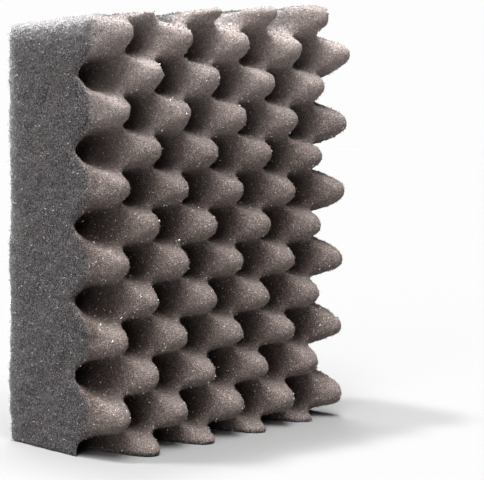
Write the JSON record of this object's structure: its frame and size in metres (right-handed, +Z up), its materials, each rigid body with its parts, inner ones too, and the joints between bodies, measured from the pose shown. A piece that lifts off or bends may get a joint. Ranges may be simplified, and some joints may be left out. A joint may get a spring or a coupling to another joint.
{
  "type": "acoustic foam panel",
  "caption": "Block of dark grey open-cell acoustic foam with a flat back and a front of rounded cones with narrower pits between them.",
  "frame": {"origin": "centre of the bounding box in plan, on the surface that the block stands on", "axes": "+X along the block from its left end, +Y from the cone tips to the flat back, +Z up; the cones face -Y"},
  "size_m": [0.1954, 0.1, 0.2535],
  "materials": {
    "foam": "matt open-cell foam, dark warm grey, with cut cells that sparkle"
  },
  "bodies": {
    "root": {"foam_panel": "foam"}
  },
  "joints": []
}
